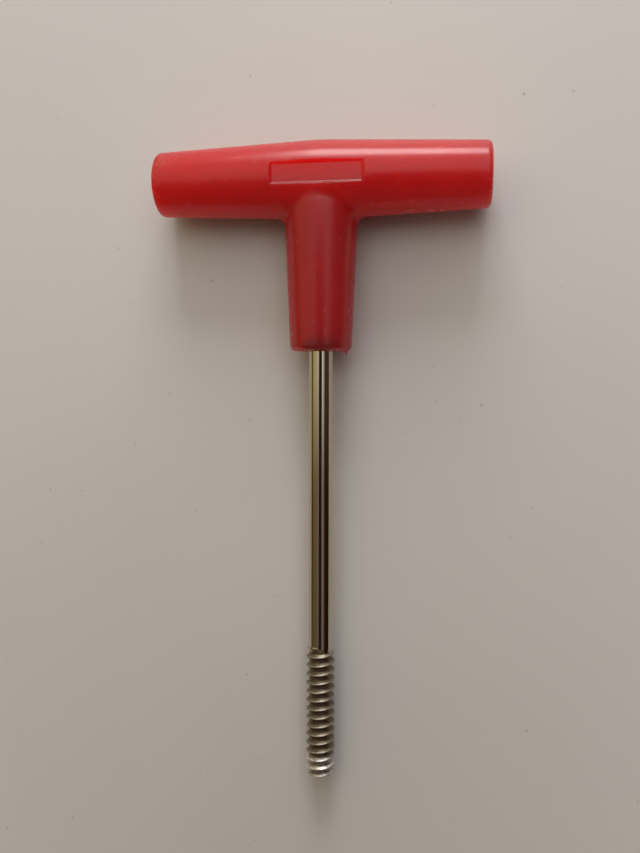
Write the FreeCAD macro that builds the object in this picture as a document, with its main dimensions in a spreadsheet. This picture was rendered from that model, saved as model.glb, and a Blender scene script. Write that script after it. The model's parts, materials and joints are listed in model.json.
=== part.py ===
"""A T-handle spiral tool: a moulded plastic crossbar handle on a steel shank with a coarse spiral end.

Both pieces are drawn in the tool's own frame: the crossbar runs along X, the shank's axis along -Y,
and the mould's parting plane is XY, all through the middle of the crossbar. Each body's Placement
then lays the tool down as it rests on a table: +Z up, the crossbar's belly and the spiral's tip
touching Z = 0, and the origin under the middle of its outline.

Distances "down the shank" are measured from the crossbar's axis towards the tip.
"""
import FreeCAD, Part
import math
import os
import Sketcher

# Every driving dimension: the cell's alias, its value in millimetres (or degrees), and what it is.
DIMENSIONS = (
    ("bar_half_length", 40.7, "crossbar, middle to end face"),
    ("bar_end_radius", 7.77, "crossbar at its end faces"),
    ("bar_peak_radius", 9.43, "where the crossbar's two tapers would meet at its middle"),
    ("bar_crown_radius", 40, "lengthwise arc that blends the two tapers"),
    ("bar_end_round", 1.2, "rounding round each end face"),
    ("stem_start", 3, "down the shank: the stem's widest section, inside the crossbar"),
    ("stem_start_half_width", 9.26, "stem's widest section, along the crossbar"),
    ("stem_start_half_depth", 8.6, "stem's widest section, across the parting plane"),
    ("stem_end", 41.5, "down the shank: the stem's end face"),
    ("stem_end_half_width", 7.55, "stem's end face, along the crossbar"),
    ("stem_end_half_depth", 7.1, "stem's end face, across the parting plane"),
    ("stem_end_round", 1.4, "rounding round the stem's end face"),
    ("junction_round", 2.2, "hollow rounding between stem and crossbar"),
    ("recess_length", 21.4, "blank recess: floor along the crossbar"),
    ("recess_width", 4.4, "blank recess: floor across the crossbar"),
    ("recess_floor", 8.2, "blank recess: floor's height over the parting plane"),
    ("recess_draft", 35, "blank recess: slope of its walls from upright, degrees"),
    ("recess_cut", 2, "height cut away over the recess's floor"),
    ("flash_inner", 5.3, "mould flash: inner corner, off the shank's axis"),
    ("flash_outer", 7.15, "mould flash: outer corner, off the shank's axis"),
    ("flash_point", 6.3, "mould flash: point, off the shank's axis"),
    ("flash_root", 40.4, "down the shank: where the flash is rooted in the stem"),
    ("flash_tip", 42.8, "down the shank: point of the flash"),
    ("flash_thickness", 0.4, "mould flash: across the parting plane"),
    ("rod_radius", 3, "plain part of the shank"),
    ("rod_top", 5.5, "shank's hidden end, past the crossbar's axis"),
    ("rod_top_round", 0.6, "rounding round the shank's hidden end"),
    ("ears_half_width", 4.7, "pinched ears: reach from the shank's axis"),
    ("ears_start", -1, "down the shank: near side of the ears"),
    ("ears_end", 6, "down the shank: far side of the ears"),
    ("ears_round", 1, "rounding at the ears' corners"),
    ("ears_thickness", 1.8, "pinched ears: across the parting plane"),
    ("spiral_start", 114.45, "down the shank: where the spiral begins"),
    ("spiral_runout", 2.4, "length over which the ridge rises to its full height"),
    ("spiral_length", 33.2, "length of the spiral"),
    ("spiral_pitch", 2.165, "from one turn to the next"),
    ("root_radius", 2.8, "spiral's valleys"),
    ("crest_radius", 3.6, "spiral's ridge"),
    ("ridge_peak_radius", 4.13, "where the ridge's two flanks would meet, above its rounding"),
    ("ridge_round", 0.42, "rounding on top of the ridge"),
    ("ridge_foot", 0.86, "half the ridge's width at its foot"),
    ("ridge_sink", 0.4, "how deep the ridge's foot is drawn inside the core"),
    ("tip_end", 147.8, "down the shank: the tip's end face"),
    ("tip_round", 1.5, "rounding round the tip's end face"),
    ("trim_margin", 2.4, "how far the cut that shapes the spiral reaches past it"),
)

STEP_FOLDER = "parts"
HORIZONTAL_AXIS = ORIGIN = -1  # Sketcher's numbers for a sketch's own axes; its origin starts the first
VERTICAL_AXIS = -2
START, END, CENTRE = 1, 2, 3  # Sketcher's numbers for the points of a line, an arc or an oval
LEAST_CUT = 0.5  # cubic millimetres that every cut has to take away
SAME_POINT = 1e-6  # millimetres
PARALLEL = 0.99  # least cosine between two directions that count as the same

doc = FreeCAD.newDocument("spiral_tool")


def make_sheet():
    """The spreadsheet that holds every driving dimension under its alias."""
    cells = doc.addObject("Spreadsheet::Sheet", "sizes")
    for row, (alias, value, meaning) in enumerate(DIMENSIONS, start=1):
        cells.set(f"A{row}", meaning)
        cells.set(f"B{row}", str(value))
        cells.setAlias(f"B{row}", alias)
    doc.recompute()
    return cells


sheet = make_sheet()


def value_of(formula):
    """The number that a formula of the sheet's cells gives."""
    return float(sheet.evalExpression(formula))


def new_sketch(body, name, lift=None, role="XY_Plane"):
    """A sketch on one of the body's own planes, or on a plane lifted off it by a formula."""
    sketch = body.newObject("Sketcher::SketchObject", name)
    plane = next(p for p in body.Origin.OriginFeatures if p.Role == role)
    sketch.AttachmentSupport = [(plane, "")]
    sketch.MapMode = "FlatFace"
    if lift:
        sketch.setExpression("AttachmentOffset.Base.z", lift)
    return sketch


def bind(sketch, constraint, name, formula):
    """Add a dimension to the sketch and bind it to a formula of the sheet's cells."""
    sketch.renameConstraint(sketch.addConstraint(constraint), name)
    sketch.setExpression(f"Constraints.{name}", formula)


def pin_corner(sketch, geometry, end, index, corner):
    """Hold one corner of an outline at its two coordinates, each a formula."""
    sides = (("DistanceX", VERTICAL_AXIS), ("DistanceY", HORIZONTAL_AXIS))
    for (kind, axis), formula in zip(sides, corner):
        if formula == "0":
            sketch.addConstraint(Sketcher.Constraint("PointOnObject", geometry, end, axis))
        else:
            distance = Sketcher.Constraint(kind, geometry, end, value_of(formula))
            bind(sketch, distance, f"corner{index}_{kind}", formula)


def corner_arc(before, corner, after, radius):
    """Start, middle and end of the arc of this radius that rounds a corner."""
    back = (before - corner).normalize()
    ahead = (after - corner).normalize()
    half_angle = back.getAngle(ahead) / 2
    reach = radius / math.tan(half_angle)
    inward = (back + ahead).normalize()
    middle = corner + inward * (radius / math.sin(half_angle) - radius)
    return corner + back * reach, middle, corner + ahead * reach


def draw_outline(sketch, corners, rounds=None):
    """Draw a closed outline, fully held: corners are pairs of formulas, rounds gives a corner's radius."""
    rounds = rounds or {}
    places = [FreeCAD.Vector(value_of(x), value_of(y), 0) for x, y in corners]
    count = len(corners)
    arcs = {
        i: corner_arc(places[i - 1], places[i], places[(i + 1) % count], value_of(formula))
        for i, formula in rounds.items()
    }
    leaves = [arcs[i][2] if i in arcs else places[i] for i in range(count)]
    arrives = [arcs[i][0] if i in arcs else places[i] for i in range(count)]
    lines = [
        sketch.addGeometry(Part.LineSegment(leaves[i], arrives[(i + 1) % count]))
        for i in range(count)
    ]
    for i, corner in enumerate(corners):
        line_in, line_out = lines[i - 1], lines[i]
        if i not in arcs:
            sketch.addConstraint(Sketcher.Constraint("Coincident", line_in, END, line_out, START))
            pin_corner(sketch, line_out, START, i, corner)
            continue
        arc = sketch.addGeometry(Part.Arc(*arcs[i]))
        forward = sketch.getPoint(arc, START).distanceToPoint(arcs[i][0]) < SAME_POINT
        near, far = (START, END) if forward else (END, START)
        sketch.addConstraint(Sketcher.Constraint("Tangent", line_in, END, arc, near))
        sketch.addConstraint(Sketcher.Constraint("Tangent", arc, far, line_out, START))
        radius = Sketcher.Constraint("Radius", arc, value_of(rounds[i]))
        bind(sketch, radius, f"round{i}", rounds[i])
        point = sketch.addGeometry(Part.Point(places[i]), True)
        for line in (line_in, line_out):
            sketch.addConstraint(Sketcher.Constraint("PointOnObject", point, START, line))
        pin_corner(sketch, point, START, i, corner)


def feature(body, kind, name, sketch, axis=None):
    """A PartDesign feature drawn from a sketch, turned about one of the sketch's axes if named."""
    made = body.newObject(f"PartDesign::{kind}", name)
    made.Profile = sketch
    if axis:
        made.ReferenceAxis = (sketch, [axis])
    return made


def recomputed_volume(body):
    """The body's volume after a recompute, in cubic millimetres."""
    doc.recompute()
    return body.Shape.Volume


def require_cut(body, volume_before, name):
    """Stop if a cut took nothing away."""
    if recomputed_volume(body) > volume_before - LEAST_CUT:
        raise RuntimeError(f"{name} cuts nothing")


def shank_outline():
    """Half outline of the shank without its ridge: hidden end, plain rod, core of the spiral, blunt tip."""
    corners = [
        ("0", "sizes.rod_top"),
        ("sizes.rod_radius", "sizes.rod_top"),
        ("sizes.rod_radius", "-sizes.spiral_start"),
        ("sizes.root_radius", "-(sizes.spiral_start + sizes.spiral_runout / 2)"),
        ("sizes.root_radius", "-sizes.tip_end"),
        ("0", "-sizes.tip_end"),
    ]
    return corners, {1: "sizes.rod_top_round", 4: "sizes.tip_round"}


def ears_outline():
    """The two ears pinched out of the rod's hidden end, which lock it in the plastic."""
    corners = [
        ("-sizes.ears_half_width", "-sizes.ears_start"),
        ("sizes.ears_half_width", "-sizes.ears_start"),
        ("sizes.ears_half_width", "-sizes.ears_end"),
        ("-sizes.ears_half_width", "-sizes.ears_end"),
    ]
    return corners, {i: "sizes.ears_round" for i in range(4)}


def ridge_outline():
    """Section of the spiral's ridge: a rounded tooth whose foot is sunk in the core."""
    foot = "sizes.root_radius - sizes.ridge_sink"
    corners = [
        (foot, "-(sizes.spiral_start - sizes.ridge_foot)"),
        ("sizes.ridge_peak_radius", "-sizes.spiral_start"),
        (foot, "-(sizes.spiral_start + sizes.ridge_foot)"),
    ]
    return corners, {1: "sizes.ridge_round"}


def trim_outline():
    """What a lathe would leave off the ridge: outside a cone at its start and a rounded nose at its tip."""
    above = "-(sizes.spiral_start - sizes.trim_margin)"
    below = "-(sizes.tip_end + sizes.trim_margin)"
    outside = "sizes.crest_radius + sizes.trim_margin"
    corners = [
        ("sizes.rod_radius", above),
        ("sizes.rod_radius", "-sizes.spiral_start"),
        ("sizes.crest_radius", "-(sizes.spiral_start + sizes.spiral_runout)"),
        ("sizes.crest_radius", "-sizes.tip_end"),
        ("0", "-sizes.tip_end"),
        ("0", below),
        (outside, below),
        (outside, above),
    ]
    return corners, {3: "sizes.tip_round"}


def bar_outline():
    """Half outline of the crossbar: two long tapers blended at the middle, rounded at the end faces."""
    corners = [
        ("-sizes.bar_half_length", "0"),
        ("-sizes.bar_half_length", "sizes.bar_end_radius"),
        ("0", "sizes.bar_peak_radius"),
        ("sizes.bar_half_length", "sizes.bar_end_radius"),
        ("sizes.bar_half_length", "0"),
    ]
    rounds = {1: "sizes.bar_end_round", 2: "sizes.bar_crown_radius", 3: "sizes.bar_end_round"}
    return corners, rounds


def flash_outline():
    """The triangle of plastic squeezed out at the parting plane, at the stem's end."""
    return [
        ("sizes.flash_inner", "-sizes.flash_root"),
        ("sizes.flash_outer", "-sizes.flash_root"),
        ("sizes.flash_point", "-sizes.flash_tip"),
    ]


def recess_outline():
    """Floor of the blank recess on the crossbar's face."""
    x, y = "sizes.recess_length / 2", "sizes.recess_width / 2"
    return [(f"-{x}", f"-{y}"), (x, f"-{y}"), (x, y), (f"-{x}", y)]


def revolve(body, kind, name, outline, axis):
    """A solid or a cut made by turning an outline right round one of its sketch's axes."""
    sketch = new_sketch(body, f"{name}_outline")
    draw_outline(sketch, *outline)
    return feature(body, kind, name, sketch, axis)


def pad(body, name, outline, thickness):
    """A plate that stands equally on both sides of the parting plane."""
    sketch = new_sketch(body, f"{name}_outline")
    draw_outline(sketch, *outline)
    made = feature(body, "Pad", name, sketch)
    made.Midplane = True
    made.setExpression("Length", thickness)
    return made


def make_shank():
    """The steel rod: pinched ears at its hidden end and a rolled right-hand spiral at its tip."""
    body = doc.addObject("PartDesign::Body", "shank")
    revolve(body, "Revolution", "rod", shank_outline(), "V_Axis")
    pad(body, "ears", ears_outline(), "sizes.ears_thickness")

    ridge_sketch = new_sketch(body, "ridge_outline")
    draw_outline(ridge_sketch, *ridge_outline())
    ridge = feature(body, "AdditiveHelix", "ridge", ridge_sketch, "V_Axis")
    ridge.Mode = "pitch-height-angle"
    ridge.Reversed = True
    ridge.setExpression("Pitch", "sizes.spiral_pitch")
    ridge.setExpression("Height", "sizes.spiral_length")

    untrimmed = recomputed_volume(body)
    revolve(body, "Groove", "trim", trim_outline(), "V_Axis")
    require_cut(body, untrimmed, "trim")
    return body


def stem_section(body, place):
    """The stem's oval section at its start or its end, square to the shank's axis."""
    sketch = new_sketch(body, f"stem_{place}_section", f"sizes.stem_{place}", "XZ_Plane")
    wide, deep = (f"sizes.stem_{place}_half_{side}" for side in ("width", "depth"))
    width, depth = FreeCAD.Vector(value_of(wide), 0, 0), FreeCAD.Vector(0, value_of(deep), 0)
    oval = sketch.addGeometry(Part.Ellipse(width, depth, FreeCAD.Vector()))
    sketch.exposeInternalGeometry(oval)  # adds the oval's long and short axes after it
    long_axis, short_axis = oval + 1, oval + 2
    sketch.addConstraint(Sketcher.Constraint("Coincident", oval, CENTRE, ORIGIN, START))
    sketch.addConstraint(Sketcher.Constraint("Horizontal", long_axis))
    for name, line, formula in (("width", long_axis, wide), ("depth", short_axis, deep)):
        across = Sketcher.Constraint("Distance", line, 2 * value_of(formula))
        bind(sketch, across, name, f"2 * {formula}")
    return sketch


def turned_about_bar(face):
    """Whether a face was turned about the crossbar's axis."""
    axis = getattr(face.Surface, "Axis", None)
    along_bar = FreeCAD.Vector(1, 0, 0)
    return not isinstance(face.Surface, Part.Plane) and axis and abs(axis * along_bar) > PARALLEL


def junction_edges(shape):
    """Names of the edges where the crossbar's turned faces meet the stem's drawn one."""
    names = []
    for number, edge in enumerate(shape.Edges, start=1):
        faces = shape.ancestorsOfType(edge, Part.Face)
        drawn = any(isinstance(face.Surface, Part.BSplineSurface) for face in faces)
        if drawn and any(turned_about_bar(face) for face in faces):
            names.append(f"Edge{number}")
    return names


def stem_end_edges(shape):
    """Names of the edges round the stem's end face."""
    level = -value_of("sizes.stem_end")
    return [
        f"Edge{number}"
        for number, edge in enumerate(shape.Edges, start=1)
        if all(abs(edge.valueAt(at).y - level) < SAME_POINT for at in edge.ParameterRange)
    ]


def round_edges(body, name, base, find_edges, radius):
    """Round the edges that find_edges picks on a feature's shape."""
    doc.recompute()
    rounding = body.newObject("PartDesign::Fillet", name)
    rounding.Base = (base, find_edges(base.Shape))
    rounding.setExpression("Radius", radius)
    return rounding


def make_handle():
    """The moulded T: crossbar, stem, blank recess, a bit of flash, and the room that the shank fills."""
    body = doc.addObject("PartDesign::Body", "handle")
    revolve(body, "Revolution", "bar", bar_outline(), "H_Axis")
    stem = body.newObject("PartDesign::AdditiveLoft", "stem")
    stem.Profile = stem_section(body, "start")
    stem.Sections = [stem_section(body, "end")]
    joined = round_edges(body, "junction_rounding", stem, junction_edges, "sizes.junction_round")
    round_edges(body, "stem_end_rounding", joined, stem_end_edges, "sizes.stem_end_round")
    pad(body, "flash", (flash_outline(),), "sizes.flash_thickness")

    uncut = recomputed_volume(body)
    recess_sketch = new_sketch(body, "recess_outline", lift="sizes.recess_floor")
    draw_outline(recess_sketch, recess_outline())
    recess = feature(body, "Pocket", "recess", recess_sketch)
    recess.Reversed = True
    recess.setExpression("Length", "sizes.recess_cut")
    recess.setExpression("TaperAngle", "sizes.recess_draft")
    require_cut(body, uncut, "recess")

    uncut = recomputed_volume(body)
    revolve(body, "Groove", "rod_room", shank_outline(), "V_Axis")
    require_cut(body, uncut, "rod_room")

    uncut = recomputed_volume(body)
    ears_sketch = new_sketch(body, "ears_outline")
    draw_outline(ears_sketch, *ears_outline())
    ears_room = feature(body, "Pocket", "ears_room", ears_sketch)
    ears_room.Midplane = True
    ears_room.setExpression("Length", "sizes.ears_thickness")
    require_cut(body, uncut, "ears_room")
    return body


def belly_radius():
    """Radius of the crossbar at its middle, where the two tapers are blended."""
    peak, crown = value_of("sizes.bar_peak_radius"), value_of("sizes.bar_crown_radius")
    slope = math.atan2(peak - value_of("sizes.bar_end_radius"), value_of("sizes.bar_half_length"))
    return peak - crown * (1 / math.cos(slope) - 1)


def lying_down():
    """The placement that rests the tool on the table: the common tangent under belly and tip is level."""
    belly, tip_round = belly_radius(), value_of("sizes.tip_round")
    tip_off = value_of("sizes.crest_radius") - tip_round
    tip_down = value_of("sizes.tip_end") - tip_round
    lean = math.asin((belly - tip_round) / math.hypot(tip_off, tip_down)) - math.atan2(tip_off, tip_down)
    reach = value_of("sizes.tip_end") * math.cos(lean)
    rotation = FreeCAD.Rotation(FreeCAD.Vector(1, 0, 0), math.degrees(lean))
    return FreeCAD.Placement(FreeCAD.Vector(0, (reach - belly) / 2, belly), rotation)


def check(bodies):
    """Stop if anything in the document failed, or a body isn't one sound solid."""
    for thing in doc.Objects:
        failed = {"Invalid", "Error"} & set(thing.State)
        if failed:
            raise RuntimeError(f"{thing.Label} is {failed}")
    for body in bodies:
        if body.Shape.isNull() or not body.Shape.isValid() or len(body.Shape.Solids) != 1:
            raise RuntimeError(f"{body.Label} is not one sound solid")


def main():
    """Make both bodies, lay them down, check them and write each to its own STEP file."""
    bodies = [make_handle(), make_shank()]
    placement = lying_down()
    for body in bodies:
        body.Placement = placement
    doc.recompute()
    check(bodies)
    os.makedirs(STEP_FOLDER, exist_ok=True)
    for body in bodies:
        body.Shape.exportStep(f"{STEP_FOLDER}/{body.Label}.step")
        box = body.Shape.BoundBox
        print(f"{body.Label}: {body.Shape.Volume:.1f} mm3, {len(body.Shape.Faces)} faces, {box}")


main()
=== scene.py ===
import json
import math

import bmesh
import bpy
import numpy as np
from mathutils import Matrix, Vector


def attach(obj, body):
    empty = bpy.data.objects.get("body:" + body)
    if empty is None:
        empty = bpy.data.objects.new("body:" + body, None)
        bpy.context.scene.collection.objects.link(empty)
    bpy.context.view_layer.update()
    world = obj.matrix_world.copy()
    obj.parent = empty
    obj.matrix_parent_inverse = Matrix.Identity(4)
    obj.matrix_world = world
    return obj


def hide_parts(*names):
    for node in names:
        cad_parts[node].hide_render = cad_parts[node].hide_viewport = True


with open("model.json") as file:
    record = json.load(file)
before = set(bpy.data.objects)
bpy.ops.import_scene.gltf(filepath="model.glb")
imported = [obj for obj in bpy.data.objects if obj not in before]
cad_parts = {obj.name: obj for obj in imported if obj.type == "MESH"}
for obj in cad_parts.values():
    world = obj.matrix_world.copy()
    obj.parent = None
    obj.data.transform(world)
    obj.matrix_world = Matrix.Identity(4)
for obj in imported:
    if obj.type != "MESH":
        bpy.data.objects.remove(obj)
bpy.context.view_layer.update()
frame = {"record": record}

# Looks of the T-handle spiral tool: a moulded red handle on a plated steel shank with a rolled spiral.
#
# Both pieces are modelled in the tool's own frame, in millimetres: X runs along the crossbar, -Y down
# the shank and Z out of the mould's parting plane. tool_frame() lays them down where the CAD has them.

MM = 0.001

# Crossbar
BAR_HALF = 40.67
BAR_END_RADIUS = 7.74
BAR_PEAK_RADIUS = 9.4
BAR_CROWN = 3.43  # half the length over which the two tapers blend
BAR_END_ROUND = 1.2

# Stem: an oval, wider along the crossbar than it is deep
STEM_START, STEM_END = 3.0, 41.47
STEM_START_WIDTH, STEM_START_DEPTH = 9.25, 8.58
STEM_END_WIDTH, STEM_END_DEPTH = 7.54, 7.08
STEM_SHOULDER = 4.0
STEM_END_ROUND = 1.4
FILLET = 2.2
SOFTER_FRONT = 1.0  # the fillet widens where stem and crossbar meet less sharply

# Blank recess
FLOOR_HEIGHT = 8.2
FLOOR_HALF_LENGTH, FLOOR_HALF_WIDTH = 10.65, 2.2
SIDE_SLOPE, LONG_SLOPE = 0.9, 0.7  # how far the walls lean out per unit of height
RECESS_EDGE = 0.18
NICK_PLACE = np.array((2.9, -2.55, FLOOR_HEIGHT + 0.65))
NICK_SIZE = np.array((0.55, 0.3, 0.35))
NICK_EDGE = 0.05

# Wear on the handle, and painted shade round the shank's mouth and in the recess's corners
BAR_END_RUB, STEM_END_RUB = 0.6, 0.5
SCUFFED_PATCH = np.array((-37.5, 3.5, 7.0))  # on the crossbar's left end
PATCH_SIZE = np.array((3.0, 2.6, 4.0))
# Painted shade: how far it reaches from the shank's mouth, and how strong it is in the recess's corners
MOUTH_SHADE_REACH = 0.8
CORNER_SHADE = 0.1

STEM_GRAIN_FROM = 12.0  # from here down the fine streaks run along the stem

# Mould seam and flash
SEAM_HEIGHT, SEAM_WIDTH = 0.025, 0.12
FLASH_THICKNESS = 0.36
FLASH_TOP, FLASH_ROOT = 40.0, 40.4  # where it starts, and the place its slanting edges pass through
FLASH_INNER_CORNER, FLASH_OUTER_CORNER = 5.3, 7.15
FLASH_INNER_NORMAL, FLASH_OUTER_NORMAL = (-0.923, 0.385), (0.943, 0.334)
FLASH_EDGE, FLASH_FILLET = 0.1, 0.25

HANDLE_GRID = 0.45  # widest spacing of the grid that the handle is meshed on

# Shank
ROD_RADIUS = 3.0
ROD_TOP = -5.5
ROD_TOP_ROUND = 0.6
EAR_REACH, EAR_HALF_THICKNESS = 4.7, 0.9
EAR_START, EAR_END = -1.0, 6.0
MOUTH_ROUND, MOUTH_DEPTH = 0.15, 3.0
SHANK_SIDES = 176
EAR_STEP, ROD_STEP, SPIRAL_STEP = 0.2, 1.2, 0.1  # how far apart the rings of points lie
NO_LIMIT = 99.0  # more than any radius, for rings that neither end limits

# Spiral
SPIRAL_START = 114.6
SPIRAL_RUN_IN = 2.6
FIRST_CREST = 117.12
FIRST_PITCH = 2.249
PITCH_CHANGE = 0.00588  # the turns get closer towards the tip
ROOT_RADIUS, CREST_RADIUS = 2.8, 3.58
RIDGE_SHARPNESS = 3.4
RIDGE_NARROWING = 0.06
START_SLANT = 0.35  # the ridge starts further down on one side of the rod than on the other
TIP_END, TIP_ROUND = 147.76, 1.35
WORN_FROM, WORN_RUN_IN = 142.0, 1.5
WORN_FILL = 0.12  # how much shallower the valleys are between the worn turns
HEIGHT_VARIATION, WORN_VARIATION = 0.06, 0.05
ROUGHNESS_HEIGHT = 0.014

# Light of the room, by how far a direction points along X and along Y
ROOM_STRENGTH = 1.07
ROOM_ACROSS = (
    (-0.98, (0.1, 0.07, 0.02)),
    (-0.9, (0.5, 0.41, 0.2)),
    (-0.6, (0.53, 0.46, 0.3)),
    (-0.3, (0.62, 0.59, 0.52)),
    (-0.1, (0.95, 0.92, 0.88)),
    (0.3, (0.85, 0.82, 0.79)),
    (0.46, (0.75, 0.71, 0.68)),
    (0.6, (0.4, 0.36, 0.33)),
    (0.72, (0.06, 0.04, 0.03)),
)
ROOM_ALONG = (
    (-0.5, (0.14, 0.11, 0.09)),
    (-0.15, (0.32, 0.26, 0.22)),
    (-0.02, (0.88, 0.86, 0.84)),
    (0.15, (1.08, 1.06, 1.05)),
    (0.3, (1.22, 1.2, 1.19)),
    (0.55, (1.12, 1.1, 1.09)),
    (0.85, (1.05, 1.03, 1.02)),
)

# What the window light aims at, and the dark card where the camera is held, in metres
LIGHT_TARGET = Vector((0, 0.03, 0.01))
CAMERA_CARD_SIZE, CAMERA_CARD_PLACE = (0.104, 0.22), (0.011, -0.04, 0.21)

# Camera, fitted to the photograph's outlines: turns in radians, place in metres, lens in millimetres
CAMERA_YAW, CAMERA_PITCH, CAMERA_ROLL = -0.14607, 0.01562, -0.00734
CAMERA_PLACE = (0.02892, 0.012331, 0.205101)
FOCAL_LENGTH, SENSOR_WIDTH = 34.186, 36
NEAREST_SEEN = 0.01

# Colours of the materials
RED = (0.475, 0.021, 0.026)
LIGHTER_RED = (0.505, 0.023, 0.028)
RUBBED_RED = (0.7, 0.16, 0.14)
SPECK_RED = (0.35, 0.01, 0.01)
# Dark colour of the painted shade at the shank's mouth and in the recess's corners
PAINTED_SHADE_RED = (0.06, 0.012, 0.01)
POLISHED = (0.6, 0.55, 0.44)
LIGHTER_POLISHED = (0.68, 0.62, 0.52)
# Spiral colours: darker in the valleys, lighter on the crests
DARK_VALLEY = (0.2, 0.16, 0.12)
DULL_CREST = (0.42, 0.38, 0.31)
DULL_SILVER = (0.45, 0.42, 0.36)
BRIGHT_SILVER = (0.95, 0.94, 0.9)
TABLE = (0.81, 0.797, 0.797)
LIGHTER_TABLE = (0.84, 0.827, 0.827)
DUST = (0.3, 0.24, 0.18)
CARD_BLACK = (0.01, 0.01, 0.01)
CARD_GREY = (0.02, 0.02, 0.02)


def tool_frame():
    """The matrix from the tool's frame in millimetres to the row's frame in metres, read off the record."""
    mounts = {m["name"]: Vector(m["pos_m"]) for m in frame["record"]["mounts"]}
    middle = (mounts["bar_end_left"] + mounts["bar_end_right"]) / 2
    across = (mounts["bar_end_right"] - mounts["bar_end_left"]).normalized()
    up_shank = (middle - mounts["spiral_tip"]).normalized()
    out = across.cross(up_shank)
    turn = Matrix((across, up_shank, out)).transposed().to_4x4()
    return Matrix.Translation(middle) @ turn @ Matrix.Scale(MM, 4)


# ---------------------------------------------------------------- fields


def round_max(a, b, radius):
    """Where both fields are inside, with the edge between them rounded."""
    over = np.hypot(np.maximum(a + radius, 0), np.maximum(b + radius, 0))
    return np.minimum(np.maximum(a, b), -radius) + over


def round_min(a, b, radius):
    """Where either field is inside, with the corner between them filled by a fillet."""
    under = np.hypot(np.maximum(radius - a, 0), np.maximum(radius - b, 0))
    return np.maximum(np.minimum(a, b), radius) - under


def smooth_step(value, low, high):
    """0 below low, 1 above high, and a rise between that starts and ends gently."""
    t = np.clip((value - low) / (high - low), 0, 1)
    return t * t * (3 - 2 * t)


def bar_field(p):
    """Crossbar: two long tapers blended at the middle, with rounded flat ends."""
    x, off_axis = np.abs(p[..., 0]), np.hypot(p[..., 1], p[..., 2])
    taper = (BAR_PEAK_RADIUS - BAR_END_RADIUS) / BAR_HALF
    drop = np.where(x < BAR_CROWN, BAR_CROWN / 2 + x * x / (2 * BAR_CROWN), x)
    return round_max(off_axis - BAR_PEAK_RADIUS + taper * drop, x - BAR_HALF, BAR_END_ROUND)


def stem_field(p):
    """Stem: a tapered oval, softly rounded where it starts inside the crossbar and at its end."""
    down = -p[..., 1]
    share = (down - STEM_START) / (STEM_END - STEM_START)
    wide = STEM_START_WIDTH + (STEM_END_WIDTH - STEM_START_WIDTH) * share
    deep = STEM_START_DEPTH + (STEM_END_DEPTH - STEM_START_DEPTH) * share
    off_axis = np.hypot(p[..., 0] / wide, p[..., 2] / deep)
    across = np.hypot(p[..., 0] / wide**2, p[..., 2] / deep**2)
    side = (off_axis - 1) * off_axis / np.maximum(across, 1e-6)
    shouldered = round_max(side, STEM_START - down, STEM_SHOULDER)
    return round_max(shouldered, down - STEM_END, STEM_END_ROUND)


def gradient(field, p, step=0.01):
    """Direction in which a field grows fastest, times how fast."""
    parts = [field(p + step * axis) - field(p - step * axis) for axis in np.eye(3)]
    return np.stack(parts, axis=-1) / (2 * step)


def body_field(p):
    """Crossbar and stem, joined by a fillet that fades out where they run into each other evenly."""
    bar, stem = bar_field(p), stem_field(p)
    cosine = np.sum(gradient(bar_field, p) * gradient(stem_field, p), axis=-1)
    half_turn = np.arccos(np.clip(cosine, -0.2, 1)) / 2
    blend = FILLET * (1 / np.cos(half_turn) - 1) / (math.sqrt(2) - 1)
    blend = blend * (1 + SOFTER_FRONT * np.clip(cosine, 0, 1))
    return round_min(bar, stem, np.maximum(blend, 1e-3))


def recess_field(p):
    """The blank recess on the crossbar's face, with sloping walls."""
    height = p[..., 2] - FLOOR_HEIGHT
    sides = (np.abs(p[..., 0]) - FLOOR_HALF_LENGTH - SIDE_SLOPE * height) / math.hypot(1, SIDE_SLOPE)
    long_walls = (np.abs(p[..., 1]) - FLOOR_HALF_WIDTH - LONG_SLOPE * height) / math.hypot(1, LONG_SLOPE)
    return round_max(round_max(sides, long_walls, RECESS_EDGE), -height, RECESS_EDGE)


def nick_field(p):
    """A small nick in the recess's front wall."""
    away = (p - NICK_PLACE) / NICK_SIZE
    return (np.linalg.norm(away, axis=-1) - 1) * NICK_SIZE.min()


def past_edge(x, down, corner, normal):
    """How far a place lies past one of the flash's two slanting edges."""
    return (x - corner) * normal[0] + (down - FLASH_ROOT) * normal[1]


def flash_field(p):
    """The triangle of plastic squeezed out between the mould's halves at the stem's end."""
    x, down = p[..., 0], -p[..., 1]
    outer = past_edge(x, down, FLASH_OUTER_CORNER, FLASH_OUTER_NORMAL)
    inner = past_edge(x, down, FLASH_INNER_CORNER, FLASH_INNER_NORMAL)
    edge = np.maximum(np.maximum(outer, inner), FLASH_TOP - down)
    return round_max(edge, np.abs(p[..., 2]) - FLASH_THICKNESS / 2, FLASH_EDGE)


def mouth_field(p):
    """Room for the rod at the stem's mouth; further in, the plastic closes round the shank unseen."""
    off_axis = np.hypot(p[..., 0], p[..., 2])
    return np.maximum(off_axis - ROD_RADIUS, STEM_END - MOUTH_DEPTH + p[..., 1])


def handle_field(p):
    """The whole handle: below zero inside the plastic."""
    solid = body_field(p)
    seam = SEAM_HEIGHT * np.exp(-((p[..., 2] / SEAM_WIDTH) ** 2))
    solid = round_min(solid - seam, flash_field(p), FLASH_FILLET)
    solid = round_max(solid, -recess_field(p), RECESS_EDGE)
    solid = round_max(solid, -nick_field(p), NICK_EDGE)
    return round_max(solid, -mouth_field(p), MOUTH_ROUND)


# ---------------------------------------------------------------- meshes


def spaced(low, high, step, fine):
    """Grid lines from low to high, step apart, and closer inside each fine band (from, to, step)."""
    lines = [low]
    while lines[-1] < high:
        here = lines[-1]
        steps = [band_step for start, end, band_step in fine if start <= here < end]
        ahead = [start - here for start, _, _ in fine if start > here + 1e-9]
        lines.append(here + min(steps + [step] + ahead))
    return np.array(lines)


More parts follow.
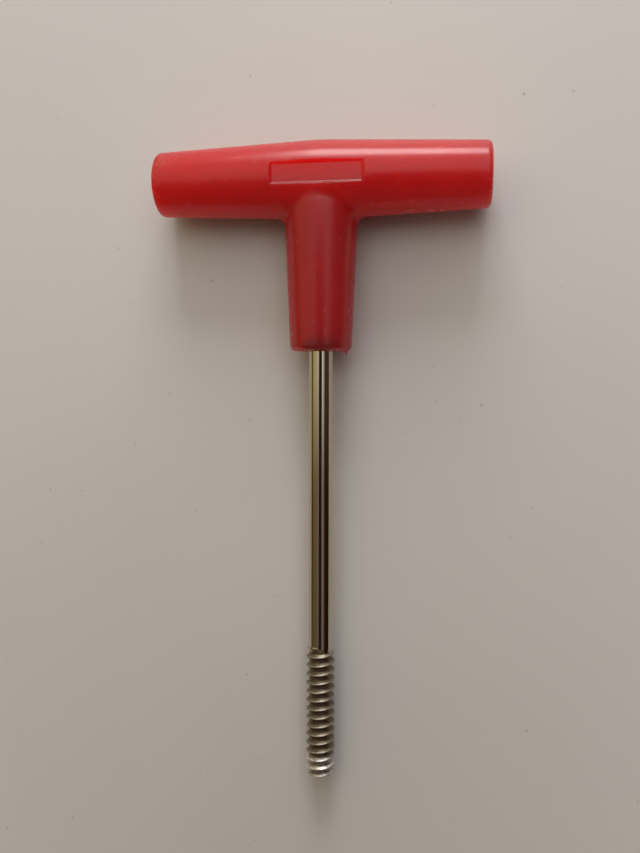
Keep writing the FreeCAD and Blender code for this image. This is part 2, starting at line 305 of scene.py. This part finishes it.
def surface_net(field, xs, ys, zs):
    """Points and four-sided faces of the surface where the field is zero, from an uneven grid."""
    lines = (xs, ys, zs)
    shape = [len(line) for line in lines]
    values = np.stack([field(np.stack(np.meshgrid([x], ys, zs, indexing="ij"), -1))[0] for x in xs])
    inside = values < 0
    rings, crossings = [], []
    for axis in range(3):
        ahead = np.zeros(3, int)
        ahead[axis] = 1
        near = np.take(inside, range(shape[axis] - 1), axis)
        far = np.take(inside, range(1, shape[axis]), axis)
        start = np.argwhere(near != far)
        end = start + ahead
        low, high = values[tuple(start.T)], values[tuple(end.T)]
        share = (low / (low - high))[:, None]
        first = np.stack([lines[i][start[:, i]] for i in range(3)], -1)
        last = np.stack([lines[i][end[:, i]] for i in range(3)], -1)
        crossings.append(first + share * (last - first))
        second, third = np.roll(ahead, 1), np.roll(ahead, 2)
        corners = [start, start - second, start - second - third, start - third]
        ring = np.stack([np.ravel_multi_index(tuple(c.T), shape) for c in corners], -1)
        leaving = inside[tuple(start.T)]
        rings.append(np.where(leaving[:, None], ring, ring[:, ::-1]))
    rings, crossings = np.concatenate(rings), np.concatenate(crossings)
    faces = np.unique(rings.ravel(), return_inverse=True)[1]
    count = np.bincount(faces)
    spread = np.repeat(crossings, 4, axis=0)
    points = np.stack([np.bincount(faces, spread[:, i]) / count for i in range(3)], -1)
    return points, faces.reshape(-1, 4)


def settle(field, points, rounds=4, least_steepness=0.05, longest_move=0.2):
    """Move points onto the surface where the field is zero."""
    for _ in range(rounds):
        slope = gradient(field, points)
        steep = np.maximum(np.sum(slope * slope, axis=-1), least_steepness)
        move = (field(points) / steep)[:, None] * slope
        points = points - np.clip(move, -longest_move, longest_move)
    return points


def make_piece(name, points, faces, normals, masks):
    """A mesh object in the row's frame, with its own normals and its masks for the material."""
    matrix = np.array(tool_frame())
    placed = points @ matrix[:3, :3].T + matrix[:3, 3]
    mesh = bpy.data.meshes.new(name)
    mesh.from_pydata(placed.tolist(), [], faces.tolist())
    mesh.polygons.foreach_set("use_smooth", np.ones(len(mesh.polygons), bool))
    for mask, values in masks.items():
        attribute = mesh.attributes.new(mask, "FLOAT", "POINT")
        attribute.data.foreach_set("value", np.asarray(values, np.float32))
    if normals is not None:
        turned = normals @ matrix[:3, :3].T
        turned /= np.linalg.norm(turned, axis=-1, keepdims=True)
        mesh.normals_split_custom_set_from_vertices(turned.tolist())
    mesh.update()
    piece = bpy.data.objects.new(name, mesh)
    bpy.context.scene.collection.objects.link(piece)
    return piece


def make_handle():
    """The moulded handle, meshed from its field with a finer grid round the recess, seam and flash."""
    left_wall, right_wall = (-11.8, -10.4, 0.06), (10.4, 11.8, 0.06)
    nick, flash = (2.3, 3.5, 0.1), (5.1, 7.4, 0.15)
    stem_end = (-42.9, -40, 0.15)
    front_wall, rear_wall = (-3.0, -1.9, 0.05), (1.9, 3.0, 0.05)
    seam, recess_depth = (-0.36, 0.36, 0.06), (8.02, 9.5, 0.08)
    xs = spaced(-41.2, 41.2, HANDLE_GRID, [left_wall, nick, flash, right_wall])
    ys = spaced(-43.4, 10, HANDLE_GRID, [stem_end, front_wall, rear_wall])
    zs = spaced(-10, 10, HANDLE_GRID, [seam, recess_depth])
    points, faces = surface_net(handle_field, xs, ys, zs)
    points = settle(handle_field, points)
    normals = gradient(handle_field, points)
    on_stem = smooth_step(-points[:, 1], BAR_END_RADIUS, STEM_GRAIN_FROM)
    # The painted-shade mask darkens the plastic round the shank's mouth and in the recess's corners
    masks = {"scuff": handle_scuff(points), "painted_shade": handle_painted_shade(points), "on_stem": on_stem}
    return make_piece("handle_moulding", points, faces, normals, masks)


def handle_scuff(p):
    """How rubbed the plastic is: most at the crossbar's ends and the stem's end."""
    ends = BAR_END_RUB * smooth_step(np.abs(p[:, 0]), BAR_HALF - 3.2, BAR_HALF - 0.6)
    stem_end = STEM_END_RUB * smooth_step(-p[:, 1], STEM_END - 1.6, STEM_END)
    patch = np.exp(-np.sum(((p - SCUFFED_PATCH) / PATCH_SIZE) ** 2, axis=-1))
    return np.maximum(np.maximum(ends, stem_end), patch)


def handle_painted_shade(p):
    """Painted shade: darkening in the recess's inner corners and round the shank's mouth.

    The mouth's ring has no limit along the shank, so the painted shade also darkens the middle of the
    crossbar's back.
    """
    mouth = 1 - smooth_step(np.hypot(p[:, 0], p[:, 2]), ROD_RADIUS, ROD_RADIUS + MOUTH_SHADE_REACH)
    in_recess = 1 - smooth_step(np.abs(recess_field(p)), 0.0, 0.05)
    low = 1 - smooth_step(p[:, 2] - FLOOR_HEIGHT, 0.02, 0.25)
    corner = in_recess * low * smooth_step(np.abs(p[:, 0]), FLOOR_HALF_LENGTH - 0.5, FLOOR_HALF_LENGTH)
    return np.maximum(mouth, CORNER_SHADE * corner)


def ripple(random, around, down, count, longest, shortest):
    """Gentle unevenness over a shank: a sum of waves with random directions and starts."""
    total = np.zeros(np.broadcast(around, down).shape)
    for _ in range(count):
        length = longest * (shortest / longest) ** random.random()
        turns = random.integers(-4, 5)
        start = random.random() * 2 * math.pi
        total += np.sin(2 * math.pi * down / length + turns * around + start)
    return total / math.sqrt(count)


def turns_down(down):
    """How many turns of the spiral lie above this place on the shank's front."""
    left = np.maximum(FIRST_PITCH**2 - 4 * PITCH_CHANGE * (down - FIRST_CREST), 0.1)
    return (FIRST_PITCH - np.sqrt(left)) / (2 * PITCH_CHANGE)


def shank_surface(around, down):
    """Radius of the shank at each angle and place, with the masks of its ridge, wear and spiral."""
    random = np.random.default_rng(11)
    wave = ripple(random, around, down, count=14, longest=9.0, shortest=2.2)
    fine = ripple(random, around, down, count=18, longest=1.6, shortest=0.4)
    sine, cosine = np.abs(np.sin(around)), np.abs(np.cos(around))
    ear = np.minimum(EAR_REACH / np.maximum(sine, 1e-6), EAR_HALF_THICKNESS / np.maximum(cosine, 1e-6))
    in_ear = smooth_step(down, EAR_START, EAR_START + 1) * (1 - smooth_step(down, EAR_END - 1, EAR_END))
    rod = np.maximum(ROD_RADIUS, ROD_RADIUS + (ear - ROD_RADIUS) * in_ear)

    phase = (turns_down(down) + around / (2 * math.pi) + 0.5) % 1 - 0.5
    narrowed = phase + RIDGE_NARROWING * np.sin(2 * math.pi * phase)
    ridge = np.cos(math.pi * narrowed) ** RIDGE_SHARPNESS
    started = down - START_SLANT * np.sin(around)
    risen = smooth_step(started, SPIRAL_START, SPIRAL_START + SPIRAL_RUN_IN)
    worn = smooth_step(down, WORN_FROM, WORN_FROM + WORN_RUN_IN)
    height = (CREST_RADIUS - ROOT_RADIUS) * (1 + HEIGHT_VARIATION * wave)
    height += worn * WORN_VARIATION * fine
    filled = worn * (1 - ridge) * WORN_FILL
    spiral = ROOT_RADIUS + np.minimum(ridge * height, CREST_RADIUS - ROOT_RADIUS) + filled
    spiral += ROUGHNESS_HEIGHT * fine * (1 + worn)
    radius = rod + (np.minimum(spiral, CREST_RADIUS) - rod) * risen
    return radius, ridge * risen, worn * risen, risen


def shank_rings():
    """Places down the shank and the limit that its two ends set on the radius there."""
    flat_top = [(ROD_TOP, r) for r in np.linspace(0, ROD_RADIUS - ROD_TOP_ROUND, 5)]
    quarter = np.linspace(0, math.pi / 2, 7)[1:]
    top = [
        (ROD_TOP + ROD_TOP_ROUND * (1 - math.cos(a)), ROD_RADIUS + ROD_TOP_ROUND * (math.sin(a) - 1))
        for a in quarter
    ]
    ears = [(d, NO_LIMIT) for d in np.arange(EAR_START - 0.5, EAR_END + 0.5, EAR_STEP)]
    rod = [(d, NO_LIMIT) for d in np.arange(EAR_END + 1, SPIRAL_START - 0.5, ROD_STEP)]
    spiral = [(d, NO_LIMIT) for d in np.arange(SPIRAL_START - 0.4, TIP_END - TIP_ROUND, SPIRAL_STEP)]
    nose = [
        (TIP_END - TIP_ROUND * (1 - math.sin(a)), CREST_RADIUS - TIP_ROUND * (1 - math.cos(a)))
        for a in np.linspace(0, math.pi / 2, 14)
    ]
    flat_tip = [(TIP_END, r) for r in np.linspace(CREST_RADIUS - TIP_ROUND, 0, 8)[1:]]
    return np.array(flat_top + top + ears + rod + spiral + nose + flat_tip)


def make_shank():
    """The shank: one tube of rings from its hidden end to its tip."""
    rings = shank_rings()
    around = np.arange(SHANK_SIDES) * 2 * math.pi / SHANK_SIDES
    down, limit = rings[:, :1], rings[:, 1:]
    radius, ridge, worn, spiral = shank_surface(around[None, :], down)
    radius = np.minimum(radius, limit)
    x, z = radius * np.sin(around), radius * np.cos(around)
    y = np.broadcast_to(-down, x.shape)
    points = np.stack([x, y, z], -1).reshape(-1, 3)
    last = len(rings) - 1
    ring_of, side_of = np.divmod(np.arange(last * SHANK_SIDES), SHANK_SIDES)
    here, there = ring_of * SHANK_SIDES, (ring_of + 1) * SHANK_SIDES
    ahead = (side_of + 1) % SHANK_SIDES
    faces = np.stack([here + side_of, here + ahead, there + ahead, there + side_of], -1)
    masks = {
        "ridge": ridge.ravel(),
        "worn": worn.ravel(),
        "spiral": np.broadcast_to(spiral, x.shape).ravel(),
    }
    piece = make_piece("shank_rod", points, faces, None, masks)
    weld(piece)
    return piece


def weld(piece):
    """Join the points that meet at the middles of the two end faces."""
    work = bmesh.new()
    work.from_mesh(piece.data)
    bmesh.ops.remove_doubles(work, verts=work.verts, dist=1e-7)
    bmesh.ops.recalc_face_normals(work, faces=work.faces)
    work.to_mesh(piece.data)
    work.free()
    piece.data.polygons.foreach_set("use_smooth", np.ones(len(piece.data.polygons), bool))
    piece.data.update()


# ---------------------------------------------------------------- materials


MIX_A, MIX_B, MIX_RESULT = 6, 7, 2  # the colour sockets of Blender's Mix node


class Nodes:
    """Short ways to add and join the nodes of one material."""

    def __init__(self, name):
        self.material = bpy.data.materials.new(name)
        self.material.use_nodes = True
        self.tree = self.material.node_tree
        self.shader = self.tree.nodes["Principled BSDF"]
        self.place = self.add("ShaderNodeTexCoord").outputs["Object"]

    def add(self, kind, **settings):
        """A new node with these settings."""
        node = self.tree.nodes.new(kind)
        for key, value in settings.items():
            setattr(node, key, value)
        return node

    def join(self, source, target):
        """Feed a socket from another socket, or set it to a plain value."""
        if isinstance(source, bpy.types.NodeSocket):
            self.tree.links.new(source, target)
        else:
            target.default_value = source

    def noise(self, scale, detail=3.0, stretch=None, distortion=0.0):
        """Cloudy noise with so many lumps per metre, stretched if asked."""
        node = self.add("ShaderNodeTexNoise")
        node.inputs["Scale"].default_value = scale
        node.inputs["Detail"].default_value = detail
        node.inputs["Distortion"].default_value = distortion
        place = self.place
        if stretch:
            mapping = self.add("ShaderNodeMapping")
            mapping.inputs["Scale"].default_value = stretch
            self.join(place, mapping.inputs["Vector"])
            place = mapping.outputs["Vector"]
        self.join(place, node.inputs["Vector"])
        return node.outputs["Fac"]

    def mask(self, name):
        """One of the mesh's masks."""
        return self.add("ShaderNodeAttribute", attribute_name=name).outputs["Fac"]

    def between(self, value, low, high, at_low=0.0, at_high=1.0):
        """The value mapped from one range to another, and clamped."""
        node = self.add("ShaderNodeMapRange")
        ends = {"From Min": low, "From Max": high, "To Min": at_low, "To Max": at_high}
        for socket, number in ends.items():
            node.inputs[socket].default_value = number
        self.join(value, node.inputs["Value"])
        return node.outputs["Result"]

    def math(self, operation, a, b):
        """Arithmetic on two values."""
        node = self.add("ShaderNodeMath", operation=operation)
        self.join(a, node.inputs[0])
        self.join(b, node.inputs[1])
        return node.outputs[0]

    def colour(self, share, a, b):
        """Colour a where the share is 0 and b where it is 1."""
        node = self.add("ShaderNodeMix", data_type="RGBA")
        self.join(share, node.inputs[0])
        for source, target in ((a, node.inputs[MIX_A]), (b, node.inputs[MIX_B])):
            self.join(source if isinstance(source, bpy.types.NodeSocket) else (*source, 1), target)
        return node.outputs[MIX_RESULT]

    def bump(self, height, distance, under=None):
        """Normals shifted by a height of so many metres, on top of another bump if given."""
        node = self.add("ShaderNodeBump")
        node.inputs["Distance"].default_value = distance
        self.join(height, node.inputs["Height"])
        if under is not None:
            self.join(under, node.inputs["Normal"])
        return node.outputs["Normal"]


def drawn_out(n, scale, detail, thin):
    """Noise drawn out into streaks: along the crossbar, and on the stem along the stem."""
    on_stem = n.mask("on_stem")
    along_bar = n.noise(scale, detail, (thin, 1.6, 1.6))
    along_stem = n.noise(scale, detail, (1.6, thin, 1.6))
    bar_share = n.math("MULTIPLY", along_bar, n.math("SUBTRACT", 1.0, on_stem))
    return n.math("ADD", bar_share, n.math("MULTIPLY", along_stem, on_stem))


def moulded_plastic():
    """Semi-gloss red plastic: faint mottling, a soft skin, specks, fine scratches, pale scuffs, and painted
    shade at the shank's mouth and in the recess's corners.
    """
    n = Nodes("moulded_plastic")
    scuff, painted_shade = n.mask("scuff"), n.mask("painted_shade")
    mottle = n.noise(160, 4, (1, 0.6, 1), 0.6)
    colour = n.colour(n.between(mottle, 0.3, 0.7), RED, LIGHTER_RED)
    rubbed = n.math("MULTIPLY", scuff, n.between(n.noise(500, 5, distortion=0.8), 0.38, 0.7))
    colour = n.colour(n.math("MULTIPLY", rubbed, 0.22), colour, RUBBED_RED)
    specks = n.between(n.noise(2600, 1), 0.74, 0.78)
    colour = n.colour(n.math("MULTIPLY", specks, 0.15), colour, SPECK_RED)
    # Painted shade: the colour is darkened round the shank's mouth and in the recess's inner corners
    colour = n.colour(n.math("MULTIPLY", painted_shade, 0.6), colour, PAINTED_SHADE_RED)
    n.join(colour, n.shader.inputs["Base Color"])

    haze = n.between(n.noise(420, 4), 0.35, 0.7, 0.21, 0.26)
    streaks = n.between(drawn_out(n, 700, 3, 0.07), 0.45, 0.68, 0.0, 0.035)
    rough = n.math("ADD", n.math("ADD", haze, streaks), n.math("MULTIPLY", rubbed, 0.1))
    n.join(rough, n.shader.inputs["Roughness"])

    skin = n.bump(n.noise(1500, 2), 0.000004)
    scratches = n.between(drawn_out(n, 1300, 2, 0.08), 0.68, 0.74)
    normal = n.bump(n.math("MULTIPLY", scratches, -1.0), 0.000002, skin)
    n.join(normal, n.shader.inputs["Normal"])
    n.shader.inputs["IOR"].default_value = 1.46
    n.shader.inputs["Subsurface Weight"].default_value = 1.0
    n.shader.inputs["Subsurface Radius"].default_value = (1.0, 0.1, 0.1)
    n.shader.inputs["Subsurface Scale"].default_value = 0.07
    return n.material


def plated_steel():
    """Plated steel: polished on the rod, dull on the spiral and darker in its valleys, silver on the worn
    last turns.
    """
    n = Nodes("plated_steel")
    ridge, worn, spiral = n.mask("ridge"), n.mask("worn"), n.mask("spiral")
    clouds = n.noise(120, 3, (1, 0.2, 1))
    polished = n.colour(n.between(clouds, 0.3, 0.7), POLISHED, LIGHTER_POLISHED)
    blotches = n.noise(1500, 4)
    # The spiral's colour follows its ridge: darker in the valleys, lighter on the crests
    crest = n.math("MULTIPLY", n.between(ridge, 0.25, 0.95), n.between(blotches, 0.25, 0.6, 0.55, 1.0))
    dull = n.colour(crest, DARK_VALLEY, DULL_CREST)
    colour = n.colour(spiral, polished, dull)
    silver = n.colour(n.between(blotches, 0.35, 0.6), DULL_SILVER, BRIGHT_SILVER)
    colour = n.colour(n.math("MULTIPLY", worn, n.between(ridge, 0.0, 0.5, 0.45, 1.0)), colour, silver)
    n.join(colour, n.shader.inputs["Base Color"])

    drawn = n.noise(2200, 2, (1, 0.02, 1))
    rough = n.between(drawn, 0.3, 0.7, 0.05, 0.1)
    rough = n.math("ADD", rough, n.math("MULTIPLY", spiral, n.between(blotches, 0.3, 0.7, 0.27, 0.42)))
    n.join(rough, n.shader.inputs["Roughness"])
    pits = n.bump(n.math("MULTIPLY", n.noise(2600, 3), spiral), 0.00008)
    n.join(n.bump(drawn, 0.0000015, pits), n.shader.inputs["Normal"])
    n.shader.inputs["Metallic"].default_value = 1.0
    return n.material


def table_top():
    """Pale floor with a slight sheen, a faint unevenness and a few specks of dust."""
    n = Nodes("table_top")
    tone = n.between(n.noise(14, 4), 0.3, 0.7)
    colour = n.colour(tone, TABLE, LIGHTER_TABLE)
    specks = n.between(n.noise(420, 2), 0.735, 0.79)
    colour = n.colour(n.math("MULTIPLY", specks, 0.5), colour, DUST)
    n.join(colour, n.shader.inputs["Base Color"])
    n.join(n.between(n.noise(900, 2), 0.3, 0.7, 0.4, 0.5), n.shader.inputs["Roughness"])
    return n.material


# ---------------------------------------------------------------- studio


def make_card(name, size, centre, material):
    """A flat rectangle of the stage."""
    half_x, half_y = size[0] / 2, size[1] / 2
    corners = [(-half_x, -half_y, 0), (half_x, -half_y, 0), (half_x, half_y, 0), (-half_x, half_y, 0)]
    mesh = bpy.data.meshes.new(name)
    mesh.from_pydata(corners, [], [(0, 1, 2, 3)])
    card = bpy.data.objects.new(name, mesh)
    card.location = centre
    bpy.context.scene.collection.objects.link(card)
    mesh.materials.append(material)
    return card


def make_light(name, size, azimuth, elevation, distance, radiance, colour):
    """A soft rectangular light aimed at the tool; azimuth 0 is towards +Y and grows towards +X."""
    lamp = bpy.data.lights.new(name, "AREA")
    lamp.shape = "RECTANGLE"
    lamp.size, lamp.size_y = size
    lamp.color = colour
    lamp.energy = radiance * math.pi * size[0] * size[1]
    light = bpy.data.objects.new(name, lamp)
    a, e = math.radians(azimuth), math.radians(elevation)
    way = Vector((math.sin(a) * math.cos(e), math.cos(a) * math.cos(e), math.sin(e)))
    light.location = LIGHT_TARGET + way * distance
    light.rotation_euler = way.to_track_quat("Z", "Y").to_euler()
    light.visible_camera = False
    bpy.context.scene.collection.objects.link(light)


def ramp(tree, value, stops):
    """A colour for each value: stops are pairs of a value from -1 to 1 and a colour."""
    spread = tree.nodes.new("ShaderNodeMapRange")
    spread.inputs["From Min"].default_value = -1
    tree.links.new(value, spread.inputs["Value"])
    node = tree.nodes.new("ShaderNodeValToRGB")
    node.color_ramp.interpolation = "LINEAR"
    elements = node.color_ramp.elements
    elements.remove(elements[1])
    for number, (place, colour) in enumerate(stops):
        element = elements[0] if number == 0 else elements.new((place + 1) / 2)
        element.position = (place + 1) / 2
        element.color = (*colour, 1)
    tree.links.new(spread.outputs["Result"], node.inputs["Fac"])
    return node.outputs["Color"]


def make_room():
    """The world: bright behind the tool, warmer to the left, dark to the right and on the camera's side."""
    world = bpy.data.worlds.new("room")
    bpy.context.scene.world = world
    world.use_nodes = True
    tree = world.node_tree
    way = tree.nodes.new("ShaderNodeSeparateXYZ")
    tree.links.new(tree.nodes.new("ShaderNodeTexCoord").outputs["Generated"], way.inputs["Vector"])
    across = ramp(tree, way.outputs["X"], ROOM_ACROSS)
    along = ramp(tree, way.outputs["Y"], ROOM_ALONG)
    both = tree.nodes.new("ShaderNodeMix")
    both.data_type, both.blend_type = "RGBA", "MULTIPLY"
    both.inputs["Factor"].default_value = 1
    tree.links.new(across, both.inputs[MIX_A])
    tree.links.new(along, both.inputs[MIX_B])
    tree.links.new(both.outputs[MIX_RESULT], tree.nodes["Background"].inputs["Color"])
    tree.nodes["Background"].inputs["Strength"].default_value = ROOM_STRENGTH


def make_studio():
    """Floor, window light, the room's light, and a dark card where the camera is held."""
    make_card("floor", (3, 3), (0, 0, 0), table_top())
    n = Nodes("camera_card")
    n.join(n.colour(n.noise(40), CARD_BLACK, CARD_GREY), n.shader.inputs["Base Color"])
    n.shader.inputs["Roughness"].default_value = 0.8
    holder = make_card("camera_card", CAMERA_CARD_SIZE, CAMERA_CARD_PLACE, n.material)
    holder.visible_camera = False
    make_light(
        "window",
        size=(0.31, 0.24),
        azimuth=0,
        elevation=20.6,
        distance=0.7,
        radiance=9.2,
        colour=(1.0, 0.99, 0.98),
    )
    make_room()


def make_camera():
    """The camera: nearly overhead, close to the tool."""
    yaw = Matrix.Rotation(CAMERA_YAW, 3, "Y")
    pitch = Matrix.Rotation(CAMERA_PITCH, 3, "X")
    roll = Matrix.Rotation(CAMERA_ROLL, 3, "Z")
    turn = roll @ pitch @ yaw
    lens = bpy.data.cameras.new("camera")
    lens.sensor_width = SENSOR_WIDTH
    lens.lens = FOCAL_LENGTH
    lens.clip_start = NEAREST_SEEN
    camera = bpy.data.objects.new("camera", lens)
    camera.matrix_world = Matrix.Translation(CAMERA_PLACE) @ turn.transposed().to_4x4()
    bpy.context.scene.collection.objects.link(camera)
    bpy.context.scene.camera = camera


# ---------------------------------------------------------------- build


def main():
    """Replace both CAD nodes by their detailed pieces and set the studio."""
    looks = (
        (make_handle, "handle", moulded_plastic, "handle_plastic"),
        (make_shank, "shank", plated_steel, "plated_steel"),
    )
    for make, node, material, slot in looks:
        piece = make()
        piece.data.materials.append(material())
        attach(piece, "root")
        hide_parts(node)
    make_studio()
    make_camera()
    bpy.context.scene.view_settings.view_transform = "Standard"


main()
